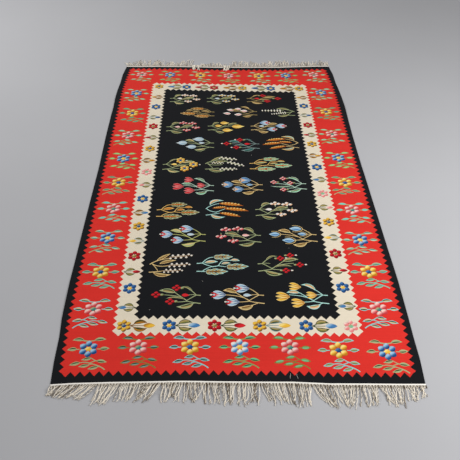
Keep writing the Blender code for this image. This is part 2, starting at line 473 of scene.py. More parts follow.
def flat_place(tree):
    """U and V of the map called flat."""
    vector = add(tree, "ShaderNodeUVMap", uv_map="flat").outputs[0]
    return add(tree, "ShaderNodeSeparateXYZ", vector).outputs[:2]


def object_place(tree):
    """The place in the object's own frame."""
    return add(tree, "ShaderNodeTexCoord").outputs["Object"]


def plane(tree, across, along, scales=(1.0, 1.0)):
    """A vector from two values, each times its scale."""
    scaled = [calc(tree, "MULTIPLY", value, scale) for value, scale in zip((across, along), scales)]
    return add(tree, "ShaderNodeCombineXYZ", *scaled, 0.0).outputs[0]


def spread(tree, value, share):
    """1, give or take half a share, by a value between 0 and 1."""
    return calc(tree, "MULTIPLY_ADD", value, share, 1 - share / 2)


def bulges(tree, place, pitch, shift=0.0):
    """One rounded bulge for each pitch: a sine without its sign."""
    angle = calc(tree, "MULTIPLY_ADD", place, math.pi / pitch, shift)
    return calc(tree, "ABSOLUTE", calc(tree, "SINE", angle))


def dress(tree, shader, colour, shade, relief, strength, depth, values):
    """Sets a shader: the colour times a grey shade, a bump from the relief, and plain values."""
    grey = add(tree, "ShaderNodeCombineXYZ", shade, shade, shade).outputs[0]
    tree.links.new(blended(tree, 1.0, colour, grey, "MULTIPLY"), shader.inputs["Base Color"])
    bump = add(tree, "ShaderNodeBump")
    set_values(bump, {"Strength": strength, "Distance": depth})
    tree.links.new(relief, bump.inputs["Height"])
    tree.links.new(bump.outputs[0], shader.inputs["Normal"])
    set_values(shader, values)


def toothed_inside(tree, across, along, line):
    """1 inside a toothed border line, else 0. Each side is a straight edge moved in and out by a
    triangle wave of the position along it; the place is taken to the nearest warp and pick, so
    the teeth are cut in small steps as a tapestry weave cuts them."""
    mid_x, half_x, mid_y, half_y, side_pitch, side_depth, end_pitch, end_depth = line
    inside = []
    for place, other, middle, half, other_middle, other_half, pitch, depth in (
        (across, along, mid_x, half_x, mid_y, half_y, side_pitch, side_depth),
        (along, across, mid_y, half_y, mid_x, half_x, end_pitch, end_depth),
    ):
        teeth = round(2 * other_half / pitch)
        fitted = 2 * other_half / teeth
        start = calc(tree, "ADD", other, other_half - other_middle)
        wave = calc(tree, "PINGPONG", start, fitted / 2)
        reach = calc(tree, "MULTIPLY_ADD", wave, 2 * depth / fitted, half - depth / 2)
        distance = calc(tree, "ABSOLUTE", calc(tree, "SUBTRACT", place, middle))
        inside.append(calc(tree, "LESS_THAN", distance, reach))
    return calc(tree, "MULTIPLY", *inside)


def ground_colour(tree, across, along):
    """Black field, cream border, red border and black edge, laid over each other from the edge
    inwards by the three toothed lines."""
    warp = calc(tree, "SNAP", across, WARP_PITCH)
    pick = calc(tree, "SNAP", along, PICK_PITCH)
    colour = rgba("black")
    for line, yarn in (("red", "red"), ("cream", "cream"), ("field", "black")):
        inside = toothed_inside(tree, warp, pick, BORDER_LINES[line])
        colour = blended(tree, inside, colour, rgba(yarn))
    return colour


def drawn_colour(tree, across, along):
    """The colour attribute that each woven shape or cord carries, wherever it lies."""
    return add(tree, "ShaderNodeVertexColor", layer_name="yarn").outputs[0]


def woven_wool(name, colour_of):
    """Weft-faced tapestry weave. Colour: the yarn's, times a streak noise stretched along the
    weft, times a broad variation of the dyeing, and times painted shade that darkens it where the
    relief is low, between the ribs and picks. Bump: ribs over the warps, crossed by picks that go
    over and under, with a fine fuzz."""
    made, tree, shader = new_finish(name)
    across, along = flat_place(tree)
    streaks = noise(tree, plane(tree, across, along, (3.0, 240.0)), 1.0, 3.0)
    lots = noise(tree, plane(tree, across, along, (2.0, 9.0)), 1.0, 2.0)
    dye_and_rib_shade = calc(tree, "MULTIPLY", spread(tree, streaks, STREAKS), spread(tree, lots, DYE_LOTS))

    ribs = calc(tree, "POWER", bulges(tree, across, WARP_PITCH), 0.7)
    warp_number = calc(tree, "FLOOR", calc(tree, "MULTIPLY", across, 1 / WARP_PITCH))
    picks = bulges(tree, along, PICK_PITCH, calc(tree, "MULTIPLY", warp_number, math.pi))
    relief = calc(tree, "MULTIPLY", ribs, calc(tree, "MULTIPLY_ADD", picks, 0.45, 0.55))
    fuzz = noise(tree, plane(tree, across, along), 2600.0, 2.0)
    relief = calc(tree, "MULTIPLY_ADD", fuzz, 0.35, relief)
    # Painted shade: the colour darkens where the relief is low, between the ribs and the picks.
    dye_and_rib_shade = calc(tree, "MULTIPLY", dye_and_rib_shade, calc(tree, "MULTIPLY_ADD", relief, 0.18, 0.84))
    dress(tree, shader, colour_of(tree, across, along), dye_and_rib_shade, relief, 0.55, 0.0005, {
        "Roughness": 0.92, "Specular IOR Level": 0.10, "Sheen Weight": 0.02, "Sheen Roughness": 0.5})
    return made


def plied_cotton(name):
    """Twisted cotton cord. Bump and colour follow a helix: a sine of the length over the twist
    plus the way round; in the colour it is painted shade in the grooves between the plies. A noise
    greys it in places."""
    made, tree, shader = new_finish(name)
    around, along = flat_place(tree)
    start = calc(tree, "MULTIPLY", around, 4 * math.pi)
    turns = calc(tree, "MULTIPLY_ADD", along, 2 * math.pi / PLY_TWIST, start)
    ply = calc(tree, "MULTIPLY_ADD", calc(tree, "SINE", turns), 0.5, 0.5)
    stain = spread(tree, noise(tree, object_place(tree), 38.0, 3.0), STAINS)
    # Painted shade: the ply helix darkens the colour in the grooves between the plies; the stain noise is
    # the cotton's own.
    shade = calc(tree, "MULTIPLY", calc(tree, "MULTIPLY_ADD", ply, 0.20, 0.88), stain)
    dress(tree, shader, drawn_colour(tree, around, along), shade, ply, 0.7, 0.0004, {
        "Roughness": 0.85, "Specular IOR Level": 0.2, "Sheen Weight": 0.2})
    return made


def plain_cotton(name):
    """Plain cotton weave of the heading strip: crossed ribs of warp and weft, with streaks; the ribs also
    darken the colour between them as painted shade.
    """
    made, tree, shader = new_finish(name)
    across, along = flat_place(tree)
    warp = calc(tree, "SINE", calc(tree, "MULTIPLY", across, 2 * math.pi / WARP_PITCH))
    weft = calc(tree, "SINE", calc(tree, "MULTIPLY", along, 2 * math.pi / PICK_PITCH))
    relief = calc(tree, "MULTIPLY_ADD", calc(tree, "MULTIPLY", warp, weft), 0.5, 0.5)
    wear = calc(tree, "MULTIPLY_ADD", noise(tree, object_place(tree), 26.0, 4.0), 0.12, 0.86)
    # Painted shade: the colour darkens between the ribs, on top of the wear noise.
    shade = calc(tree, "MULTIPLY_ADD", relief, 0.10, wear)
    dress(tree, shader, rgba("heading"), shade, relief, 0.6, 0.0004, {
        "Roughness": 0.88, "Sheen Weight": 0.15})
    return made


# Cloth


def build_cloth(finish):
    """The cloth as one closed grid. Each row across it is a loop: the top from left to right, a
    rounded edge, and the underside back again. The first and last rows are closed by strips
    between top and underside."""
    rim = RIM_STEPS / CORNER_WIDTH
    share = np.concatenate([rim, np.linspace(EVEN_PART, 1 - EVEN_PART, GRID_COLUMNS), 1 - rim[::-1]])
    inner = np.linspace(EVEN_PART, LENGTH - EVEN_PART, GRID_ROWS)
    along = np.concatenate([RIM_STEPS, inner, LENGTH - RIM_STEPS[::-1]])
    left = side_edge(along, -1)[:, None]
    right = side_edge(along, 1)[:, None]
    x = left + (right - left) * share[None, :]
    near = end_edge(x, -1)
    far = end_edge(x, 1)
    y = near + (far - near) * (along / LENGTH)[:, None]
    to_side = np.minimum(share, 1 - share)[None, :] * CORNER_WIDTH
    to_end = np.minimum(along, LENGTH - along)[:, None]
    inwards = np.clip(np.minimum(to_side, to_end) / RIM_STEPS[2], 0, 1)
    rounding = CLOTH_THICK * RIM_ROUNDING * (1 - np.sqrt(1 - (1 - inwards) ** 2))
    base = lift(x, y)
    top = np.stack([x, y, base + ripple(x, y) * inwards + CLOTH_THICK - rounding], -1)
    under = np.stack([x, y, base + rounding], -1)
    points = np.concatenate([under[:, ::-1], top], 1).reshape(-1, 3)
    rows_made, columns = x.shape
    pair = np.arange(columns - 1)
    first = np.stack([pair, pair + 1, 2 * columns - 2 - pair, 2 * columns - 1 - pair], -1)
    last = first[:, ::-1] + (rows_made - 1) * 2 * columns
    quads = np.concatenate([grid_quads(1, rows_made, 2 * columns, closed=True)[:, ::-1], first, last])
    flat = np.stack(pattern_place(points[:, 0], points[:, 1]), -1)[quads]
    return make_piece("cloth_weave", points, quads, finish, flat)


# Woven shapes: each is a bent strip given by start, middle and end, width, and three yarns

STROKE = np.dtype([("path", float, 6), ("width", float), ("yarns", int, 3), ("layer", float)])
# Signs of a row's seven numbers on its own side of an axis, and on the other side
TWINS = ((1, 1, 1, 1, 1, 1, 1), (1, -1, 1, -1, 1, -1, 1))


def rows(kind, yarns, table, layer=0):
    """Strips of one kind from rows of six path numbers and a width in millimetres: each has the
    same outline, first and second yarn, and lies a layer higher than the one before."""
    numbers = tuple(YARN_NAMES.index(name) for name in yarns)
    made = [(row[:6], row[6], numbers, layer + count) for count, row in enumerate(table)]
    return {kind: np.array(made, STROKE)}


def both(*table):
    """Rows on one side of a head's axis, each followed by its twin on the other side."""
    return [tuple(np.multiply(row, sides)) for row in table for sides in TWINS]


def moved(group, x, y, scale=1.0, mirror=1, turn=0.0):
    """A set of strips scaled, mirrored, turned by an angle in radians, and moved to a place."""
    made = {kind: strokes.copy() for kind, strokes in group.items()}
    for strokes in made.values():
        path = strokes["path"]
        across = path[:, 0::2] * scale * mirror
        up = path[:, 1::2] * scale
        path[:, 0::2] = across * math.cos(turn) - up * math.sin(turn) + x
        path[:, 1::2] = across * math.sin(turn) + up * math.cos(turn) + y
        strokes["width"] *= scale
    return made


# Steps along a strip, and stations across it from one edge to the other
STATIONS = {
    "stem": (7, (-1.0, -0.72, 0.72, 1.0)),
    "leaf": (10, (-1.0, -0.92, -0.6, -0.03, 0.6, 0.92, 1.0)),
    "petal": (8, (-1.0, -0.88, -0.45, 0.0, 0.45, 0.88, 1.0)),
}
# Heights over the cloth, what each layer adds, and how far a rim drops as a share of the height
HEIGHTS = {"stem": 0.00022, "leaf": 0.00030, "petal": 0.00045}
LAYER_HEIGHT = 0.000018
RIM_DROP = 1.35
# A petal is lightest towards this side of its middle, and its rim has these shares of the light
LIGHT_SIDE = (-0.6, 0.9)
LIGHT_CHANGE = 2.5
RIM_PLACES = (0.7, 0.88, 1.0)
RIM_SHADES = (1.0, 0.72, 0.30)


def half_width(kind, t):
    """Share of the half width at a share of the length. A stem narrows a little to its end. A
    leaf is a sine of a slightly bent length, so it is fullest before its middle and pointed at
    both ends. A petal is a full rounded lens."""
    if kind == "stem":
        return 1.0 - 0.25 * t
    if kind == "leaf":
        return np.maximum(np.sin(np.pi * t**0.86) ** 0.95, 0.03)
    return np.maximum(1 - np.abs(2 * t - 1) ** 1.6, 0.01) ** 0.63


def shape_colours(kind, strokes, t, s, rise):
    """Colours of every quad corner. A leaf's outline yarn shows at its rim and both ends, and its
    two halves differ. A petal goes from its light yarn at the top to its dark one below, and is
    darker along its rim."""
    count = len(strokes)
    yarns = linear(np.array([YARNS[name] for name in YARN_NAMES]))[strokes["yarns"]]
    steps, columns = len(t) - 1, len(s) - 1
    if kind == "petal":
        level = np.clip(rise, -1, 1)[..., None]
        light, middle, dark = (yarns[:, k][:, None, None] for k in range(3))
        shade = middle + np.where(level > 0, (light - middle) * level, (dark - middle) * -level)
        shade = shade * np.interp(np.abs(s), RIM_PLACES, RIM_SHADES)[None, None, :, None]
        corner = np.stack([shade[:, :-1, :-1], shade[:, 1:, :-1], shade[:, 1:, 1:], shade[:, :-1, 1:]], 3)
    else:
        zone = np.zeros((steps, columns), int)
        if kind == "leaf":
            zone[1:-2, 2] = 1
            zone[1:-2, 3] = 2
        corner = np.broadcast_to(yarns[:, zone][:, :, :, None], (count, steps, columns, 4, 3))
    whole = np.ones(corner.shape[:-1] + (4,))
    whole[..., :3] = corner
    return whole.reshape(-1, 4)


def build_shapes(name, kind, strokes, finish):
    """All strips of one kind as one piece. The middle line is a quadratic curve through start,
    middle and end. A point lies beside it by its station times the half width, and stands over
    the cloth by the height of its kind and layer times one less the rim drop times the station to
    the sixth power, so each rim sinks into the cloth."""
    along, stations = STATIONS[kind]
    t = np.linspace(0, 1, along)
    s = np.array(stations)
    path = strokes["path"] * MM
    start, middle, end = path[:, None, 0:2], path[:, None, 2:4], path[:, None, 4:6]
    control = 2 * middle - (start + end) / 2
    share = t[None, :, None]
    line = (1 - share) ** 2 * start + 2 * share * (1 - share) * control + share**2 * end
    heading = 2 * (1 - share) * (control - start) + 2 * share * (end - control)
    heading /= np.linalg.norm(heading, axis=-1, keepdims=True)
    beside = np.stack([-heading[..., 1], heading[..., 0]], -1)
    half = strokes["width"][:, None] * MM / 2 * half_width(kind, t)[None]
    offset = s[None, None, :] * half[..., None]
    place = line[:, :, None] + beside[:, :, None] * offset[..., None]
    centre = (start + end)[:, :, None] / 2
    size = np.linalg.norm(end - start, axis=-1)[:, :, None] / 2
    rise = ((place - centre) * LIGHT_SIDE).sum(-1) / size * LIGHT_CHANGE
    height = HEIGHTS[kind] + LAYER_HEIGHT * strokes["layer"]
    up = height[:, None, None] * (1 - RIM_DROP * s**6)[None, None] * np.ones(offset.shape)
    points = lay(place[..., 0], place[..., 1], up).reshape(-1, 3)
    quads = grid_quads(len(strokes), along, len(s))
    flat = place.reshape(-1, 2)[quads]
    colours = shape_colours(kind, strokes, t, s, rise)
    return make_piece(name, points, quads, finish, flat, colours)


def join(*groups):
    """Several sets of strips, each a dictionary by kind, as one."""
    made = {}
    for group in groups:
        for kind, strokes in group.items():
            made.setdefault(kind, []).append(strokes)
    return {kind: np.concatenate(parts) for kind, parts in made.items()}


# Petals of a large flower: from and to which distance from its middle, width, and squash upwards
PETAL_START = 13
PETAL_END = 51
PETAL_WIDTH = 37
PETAL_SQUASH = 0.96


def petals(flower):
    """Six petals round an eye, a sixth of a turn apart, the first one straight up."""
    *bloom, eye_light, eye_dark = FLOWERS[flower]
    table = []
    for number in range(6):
        angle = math.radians(90 - 60 * number)
        c, s = math.cos(angle), math.sin(angle) * PETAL_SQUASH
        middle = (PETAL_START + PETAL_END) / 2
        table.append((PETAL_START * c, PETAL_START * s, middle * c, middle * s,
                      PETAL_END * c, PETAL_END * s, PETAL_WIDTH))
    eye = (-19, 0, 0, 0, 19, 0, 29)
    return join(*(rows("petal", bloom, (row,)) for row in table),
                rows("petal", (eye_light, eye_dark, eye_dark), (eye,)))


def border_spray(flower, leaf):
    """A large border flower: petals, a pair of leaves over it, one at each side, and a twig of
    five leaves under it."""
    finish = LEAVES[leaf]
    leaves = rows("leaf", finish, (
        (-26, 50, -56, 58, -87, 53, 23),
        (26, 50, 56, 58, 87, 55, 23),
        (-58, -1, -82, 1, -108, -3, 24),
        (58, -1, 82, 1, 108, 2, 24),
        (22, -53, -2, -57, -30, -63, 21),
        (48, -70, 74, -72, 101, -78, 22),
        (-33, -78, -60, -83, -88, -90, 22),
        (13, -92, -13, -96, -41, -101, 20),
        (61, -102, 34, -108, 7, -115, 20),
    ))
    stems = rows("stem", finish[:1] * 3, (
        (-30, 50, 0, 46, 30, 50, 8),
        (-62, -1, -52, -1, -44, 0, 6),
        (62, -1, 52, -1, 44, 0, 6),
        (94, -120, 58, -97, 6, -80, 7),
        (10, -80, -14, -76, -36, -79, 6),
        (50, -70, 36, -64, 20, -52, 6),
        (44, -68, 30, -74, 14, -80, 6),
        (10, -92, 22, -87, 34, -88, 6),
        (58, -102, 66, -102, 72, -105, 6),
    ))
    return join(petals(flower), leaves, stems)


def small_flower(flower):
    """A small flower of the cream border, in deeper yarns than the large ones."""
    return moved(petals(DEEPER[flower]), 0, 0, scale=0.80)


def bud_group(leaf, yarn, inner, scale=1.0):
    """A bud between two leaves on thin stems, its joint at the start."""
    finish = LEAVES[leaf]
    leaves = rows("leaf", finish, ((8, 10, 42, 26, 80, 18, 29), (8, -9, 42, -25, 80, -16, 29)))
    bloom = rows("petal", (inner, yarn, yarn), ((58, 0, 88, 1, 122, 0, 33),))
    stems = rows("stem", finish[:1] * 3, (*both((-10, 0, 0, 4, 14, 11, 5.5)), (-10, 0, 24, 0, 62, 0, 5.5)))
    return moved(join(leaves, bloom, stems), 0, 0, scale=scale)


# Field sprigs: each head is drawn at the end of its stem, from its bloom's yarns and its tip's
# yarn or finish. Some heads have no use for one of the two


def beads(yarns, table, layer=0):
    """Round woven spots from rows of x, y, length and width."""
    paths = [(x - length / 2, y, x, y, x + length / 2, y, width) for x, y, length, width in table]
    return rows("petal", yarns, paths, layer)


def white_spot(x, y, length, width, layer=0):
    """A round white spot at the tip of a head."""
    return beads(("white", "white", "cream"), ((x, y, length, width),), layer)


def tulip(bloom, tip):
    """A tulip head: two spread petals and one between them, their points parted, with darker
    streaks at the base, and where it has a tip, two toothed arms that hold a white spot."""
    light, middle, dark = bloom
    made = join(
        rows("leaf", (light, middle, middle), both((72, 20, 40, 19, 0, 2, 21))),
        rows("leaf", (light, light, middle), ((76, 0, 40, 0, -2, 0, 19),), layer=4),
        rows("leaf", (dark,) * 3, (*both((2, 5, 26, 13, 54, 17, 8)), (-2, 0, 20, 0, 46, 0, 8)), layer=14))
    if tip:
        arms = (*both((50, 1, 64, 9, 82, 17, 10)), (38, 0, 50, 0, 64, 0, 9))
        made = join(made, rows("leaf", (tip,) * 3, arms, layer=20), white_spot(82, 0, 16, 12, layer=24))
    return made


def lens(bloom, tip):
    """A closed bloom: a pointed body, a petal above and below it that ends short of its point,
    and two dark streaks at its base."""
    light, middle, dark = bloom
    return join(
        rows("leaf", (light, light, middle), ((-4, 0, 38, 0, 88, 0, 36),)),
        rows("leaf", (middle, middle, light), both((0, 5, 30, 18, 68, 13, 14)), layer=4),
        rows("leaf", (dark,) * 3, both((0, 4, 22, 12, 48, 11, 8)), layer=14))


def bud(bloom, tip):
    """An almond bud with a darker half, in a calyx of two thin arms where it has one."""
    light, dark = bloom
    made = rows("leaf", (light, light, dark), ((0, 0, 36, 0, 74, 0, 40),))
    if tip:
        made = join(made, rows("stem", (tip,) * 3, both((-8, 0, 14, 24, 56, 27, 4.5))))
    return made


def cluster(bloom, tip):
    """Four berries in a diamond with a green cup behind, and a white tip where there is one."""
    cup = beads(("sage", "sage", "olive"), ((-2, 0, 24, 17),))
    made = join(cup, beads(bloom, ((14, 0, 23, 20), (29, 14, 24, 19), (29, -14, 24, 19), (45, 0, 24, 20))))
    return join(made, white_spot(69, 2, 18, 13)) if tip else made


def fan(bloom, tip):
    """Blossoms side by side: one above, one at each side, and a middle in the darker yarn."""
    light, _, dark = bloom
    return join(
        beads(bloom, ((-23, -3, 27, 22), (0, 9, 25, 23), (23, -3, 27, 22))),
        beads((dark, dark, light), ((0, -9, 20, 19),), layer=3),
        rows("stem", ("sage",) * 3, ((0, -16, 0, -24, 0, -32, 5),)))


def daisy(bloom, tip):
    """A small open flower of six petals, and a white spot beyond it."""
    return join(moved(petals(tip), 0, 0, scale=0.72), white_spot(48, -2, 14, 12))


def ear(bloom, tip):
    """A flowering ear: a stem with round seeds in turn below and above it, and one at the tip."""
    light, dark = bloom
    length, count = 125, 8
    seeds = [(4 + number * (length - 4) / count, 10 if number % 2 else -10, 15, 15)
             for number in range(count)]
    stem = rows("leaf", (tip, tip, dark), ((-24, 0, length / 2, 0, length, 0, 11),))
    return join(beads((light, light, dark), (*seeds, (length, 0, 14, 13))), stem)


def spike(bloom, tip):
    """An upright-seeded ear: tall spots across a stem, shorter to the tip."""
    light, dark = bloom
    table = []
    for number in range(7):
        x = 23.0 * number
        reach = 25 - 2.2 * number
        table.append((x, -reach, x, 0, x, reach, 13))
    stem = rows("stem", (tip,) * 3, ((-30, 0, 30, 0, 120, 0, 5),))
    return join(rows("petal", (light, light, dark), table), stem)


def wheat(bloom, tip):
    """A full ear: a body pointed at both ends, light grains along its upper edge, and darker ones
    along its lower edge, set out by a half sine of the length."""
    light, dark = bloom
    length = 134
    body = rows("leaf", (dark, light, dark), ((-10, -1, 61, 3, length, -4, 26),))
    places = [14 + 18.5 * number for number in range(6)]
    reaches = [10 * math.sin(math.pi * (x + 6) / length) for x in places]
    above = [(x, reach, 15, 12) for x, reach in zip(places, reaches)]
    below = [(x + 5, -0.8 * reach, 15, 10) for x, reach in zip(places, reaches)]
    grains = beads(("butter", "straw", light), above, layer=8)
    return join(body, grains, beads((light, dark, "brown"), below, layer=4))


def feather(bloom, tip):
    """A lobed leaf: three round lobes at each side that slant forward, one at the end, and a
    strong middle vein over them."""
    light, dark = bloom
    table = []
    for x, reach in ((0, 15), (25, 20), (52, 14)):
        for side in (-1, 1):
            table.append((x, side * 2, x + 14, side * reach * 0.7, x + 37, side * reach, 17))
    table.append((68, 0, 88, 0, 110, 0, 18))
    lobes = rows("leaf", (light, dark, dark), table)
    return join(lobes, rows("leaf", (tip,) * 3, ((-8, 0, 44, 1, 94, 0, 13),), layer=20))


# Stems and leaves of the ways in which a sprig grows, and the heads' places on each: x, y, slope
# and size
FLOWERING_STEMS = (
    (-147, 8, -132, 9, -114, 11, 6.5),
    (-120, 9, -98, 34, -68, 57, 5.5),
    (-118, 9, -92, -8, -64, -28, 5.5),
    (-147, -48, -106, -42, -62, -32, 6.5),
    (-68, -31, -32, -4, 8, 28, 6),
    (-40, -10, 4, 4, 66, 12, 5.5),
    (-66, -32, -40, -36, -10, -38, 5.5),
    (-112, -44, -92, -54, -70, -62, 5),
    (-112, 12, -94, 13, -72, 10, 4.5),
)
FLOWERING_LEAVES = (
    (2, 24, 38, 43, 78, 42, 34),
    (-84, -58, -44, -78, -2, -72, 36),
)
MIXED_LEAVES = (
    (-84, 42, -54, 76, -8, 82, 27),
    (6, 24, 42, 33, 78, 26, 29),
    (-98, -54, -60, -72, -22, -64, 34),
)
GOBLET_LEAVES = (
    (-108, 28, -84, 54, -54, 56, 25),
    (14, 18, 44, 42, 88, 52, 25),
    (-84, -62, -48, -80, -14, -76, 32),
)
BERRY_LEAVES = (
    (4, 27, 48, 42, 96, 42, 35),
    (-96, 36, -66, 64, -26, 66, 15),
    (-60, -22, 0, -4, 56, -14, 14),
    (-104, -46, -62, -68, -6, -70, 36),
)
TWIG_LEAVES = (
    (-98, 40, -66, 70, -20, 68, 26),
    (-56, -10, 20, -22, 100, -17, 13),
    (-104, -46, -62, -68, -6, -70, 30),
)
BLOSSOM_LEAVES = (
    (-104, 38, -76, 64, -34, 62, 28),
    (-12, 10, 30, 28, 76, 22, 28),
    (-50, -12, -6, 2, 40, -2, 13),
    (-104, -48, -62, -70, -10, -66, 32),
)
EAR_STEMS = (
    (-142, 0, -84, 32, -6, 46, 7),
    (-126, 4, -76, -14, -10, -9, 6),
    (-142, -60, -98, -57, -40, -49, 7),
    (-124, 2, -102, -24, -84, -50, 5),
)
EAR_LEAVES = (
    (-100, 28, -54, 58, -10, 84, 26),
    (-78, 4, -30, 22, 30, 32, 26),
    (-114, -62, -60, -82, 4, -77, 30),
)
SPIKE_LEAVES = (
    (-100, 34, -42, 52, 8, 44, 28),
    (-96, -38, -44, -70, 2, -62, 26),
)
WHEAT_STEMS = (
    (-142, 2, -104, 34, -44, 56, 6),
    (-134, 4, -110, -16, -66, -30, 6),
    (-142, -56, -104, -50, -46, -38, 6),
    (-74, -30, -40, -14, -6, 4, 5.5),
)
WHEAT_LEAVES = (
    (-112, 40, -84, 78, -16, 82, 32),
    (-104, -50, -68, -76, -8, -72, 30),
)
LEAFY_STEMS = (
    (-138, 15, -122, 16, -104, 20, 7),
    (-108, 19, -92, 42, -74, 57, 6),
    (-78, 55, -62, 62, -42, 64, 6),
    (-108, 17, -84, 2, -58, -9, 6),
    (-64, -9, -42, -9, -20, 0, 7),
    (-24, -3, -14, 18, -4, 34, 5.5),
    (-6, 32, 16, 38, 46, 37, 5),
    (-24, -3, -4, -8, 24, -12, 5.5),
    (-138, -46, -116, -46, -86, -49, 7),
    (-106, -43, -84, -24, -58, -10, 5.5),
)
LEAFY_LEAVES = (
    (-98, 20, -62, 28, -26, 28, 27),
    (-8, 9, 16, 18, 42, 16, 21),
    (40, 37, 66, 42, 92, 34, 23),
)
SPRIGS = {
    "tulip": (tulip, FLOWERING_STEMS, FLOWERING_LEAVES, (
        (-68, 57, 0.02, 1.0), (62, 12, 0.0, 1.0), (-12, -37, 0.0, 0.94))),
    "goblet": (lens, FLOWERING_STEMS, GOBLET_LEAVES, (
        (-44, 54, 0.0, 0.80), (48, 4, 0.0, 1.05), (-26, -50, 0.0, 0.90), (-88, 12, 0.0, 0.66))),
    "lens": (lens, FLOWERING_STEMS, FLOWERING_LEAVES, (
        (-68, 57, 0.02, 1.0), (62, 12, 0.0, 1.0), (-12, -37, 0.0, 0.94))),
    "crown": (tulip, FLOWERING_STEMS, MIXED_LEAVES, (
        (-6, 66, 0.12, 0.90), (62, -2, 0.04, 1.05), (-16, -42, -0.04, 1.0), (-88, 10, 0.0, 0.80))),
    "bud": (bud, FLOWERING_STEMS, FLOWERING_LEAVES, (
        (-64, 58, 0.04, 0.96), (70, 12, 0.0, 0.90), (-14, -40, 0.04, 1.0), (-88, 12, 0.08, 0.68))),
    "drop": (bud, FLOWERING_STEMS, MIXED_LEAVES, (
        (-14, 44, 0.2, 0.72), (46, 26, 0.15, 0.85), (-66, 14, 0.12, 0.85), (76, -28, 0.1, 0.85),
        (-16, -38, -0.1, 0.85))),
    "cluster": (cluster, FLOWERING_STEMS, BERRY_LEAVES, (
        (-30, 60, 0.03, 1.0), (82, 13, 0.0, 1.0), (2, -34, -0.03, 1.0))),
    "berries": (cluster, FLOWERING_STEMS, BERRY_LEAVES, (
        (-34, 50, 0.03, 0.86), (26, 74, 0.0, 0.86), (76, 0, 0.0, 0.86), (-8, -43, -0.03, 0.86))),
    "twig": (cluster, FLOWERING_STEMS, TWIG_LEAVES, (
        (49, 25, 0.03, 0.86), (-16, 65, 0.0, 0.86), (-62, 18, 0.0, 0.86), (-9, -51, -0.03, 0.86))),
    "fan": (fan, FLOWERING_STEMS, BLOSSOM_LEAVES, (
        (-8, 66, 0.0, 1.0), (68, 60, 0.0, 1.0), (98, -2, 3.1, 0.96), (24, -38, 3.1, 0.96))),
    "daisy": (daisy, FLOWERING_STEMS, BERRY_LEAVES, (
        (-5, 54, 0.0, 1.0), (96, 8, 0.0, 1.0), (30, -38, 0.0, 1.0))),
    "ear": (ear, EAR_STEMS, EAR_LEAVES, (
        (-12, 56, 0.10, 1.07), (-14, -8, 0.05, 1.0), (-46, -51, 0.03, 0.92))),
    "droop": (ear, EAR_STEMS, EAR_LEAVES, (
        (-34, 70, -0.18, 1.0), (30, 20, -0.38, 0.95), (-30, -58, -0.03, 0.95), (-90, 14, -0.08, 0.7))),
    "spike": (spike, EAR_STEMS, SPIKE_LEAVES, ((-22, 16, 0.0, 1.0), (-62, -18, -0.2, 0.8))),
    "wheat": (wheat, WHEAT_STEMS, WHEAT_LEAVES, (
        (-40, 54, -0.12, 1.15), (-4, 4, -0.12, 1.12), (-38, -38, -0.22, 1.0), (-88, 10, 0.1, 0.74))),
    "feather": (feather, LEAFY_STEMS, LEAFY_LEAVES, (
        (-46, 64, 0.03, 0.93), (22, -12, 0.03, 1.06), (-88, -50, 0.03, 1.05))),
}


# How much narrower the leaves are than in their tables, and the small bud leaf of some sprigs
LEAF_NARROWING = 0.90
SMALL_BUD = (-32, 9, -54, 10, -80, 9, 23)
WITH_SMALL_BUD = ("tulip", "lens", "cluster", "fan", "daisy")


def sprig(head, bloom, tip, leaf):
    """A field sprig that points right: two stem ends at the left that join, its heads, and leaves
    between them, a little narrower than their table says. On some the small leaf by the upper
    stem holds the bloom's yarns."""
    finish = LEAVES[leaf]
    shape, stem_table, leaf_table, heads = SPRIGS[head]
    narrow = [(*row[:6], LEAF_NARROWING * row[6]) for row in leaf_table]
    parts = [rows("leaf", finish, narrow), rows("stem", finish[:1] * 3, stem_table)]
    if head in WITH_SMALL_BUD:
        parts.append(rows("leaf", (bloom[0], bloom[0], bloom[1]), (SMALL_BUD,)))
    for x, y, slope, size in heads:
        parts.append(moved(shape(bloom, tip), x, y, scale=size, turn=slope))
    return join(*parts)


def fitted(group, to_root, to_tip, height):
    """A sprig with its paths stretched or shortened: one share towards the root, one towards the
    tip, and one across."""
    for strokes in group.values():
        x = strokes["path"][:, 0::2]
        strokes["path"][:, 0::2] = x * np.where(x < 0, to_root, to_tip)
        strokes["path"][:, 1::2] *= height
    return group


# Where the shapes stand, on the straight drawing, in millimetres from the rug's middle

RED_ROW_PLACES = {
    "near": ((-760, -1344), (-505, -1339), (-240, -1339), (15, -1338), (273, -1339), (520, -1350),
             (768, -1356)),
    "far": ((-764, 1381), (-512, 1381), (-242, 1381), (7, 1379), (272, 1379), (511, 1389),
            (761, 1394)),
}
RED_ROWS = {
    "near": (("blue", "reed"), ("pink", "olive"), ("yellow", "aqua"), ("light blue", "teal"),
             ("pink", "grove"), ("yellow", "pale"), ("blue", "reed")),
    "far": (("pink", "mint"), ("blue", "sage"), ("yellow", "mint"), ("pink", "sage"),
            ("yellow", "mint"), ("blue", "sage"), ("pink", "mint")),
}
RED_COLUMN_X = {"left": -765, "right": 770}
RED_COLUMN_Y = {
    "left": (1058, 774, 490, 210, -52, -309, -568, -836, -1096),
    "right": (1115, 817, 505, 216, -57, -324, -587, -838, -1098),
}
# Flower and leaf finish, from the far end; the twigs point left and right in turn
RED_COLUMN = (
    ("blue", "mint"), ("yellow", "fern"), ("pink", "mint"), ("blue", "spring"), ("yellow", "dusk"),
    ("pink", "sea"), ("blue", "frost"), ("yellow", "bright"), ("pink", "autumn"),
)

CREAM_ROW_Y = {"near": -1206, "far": 1176}
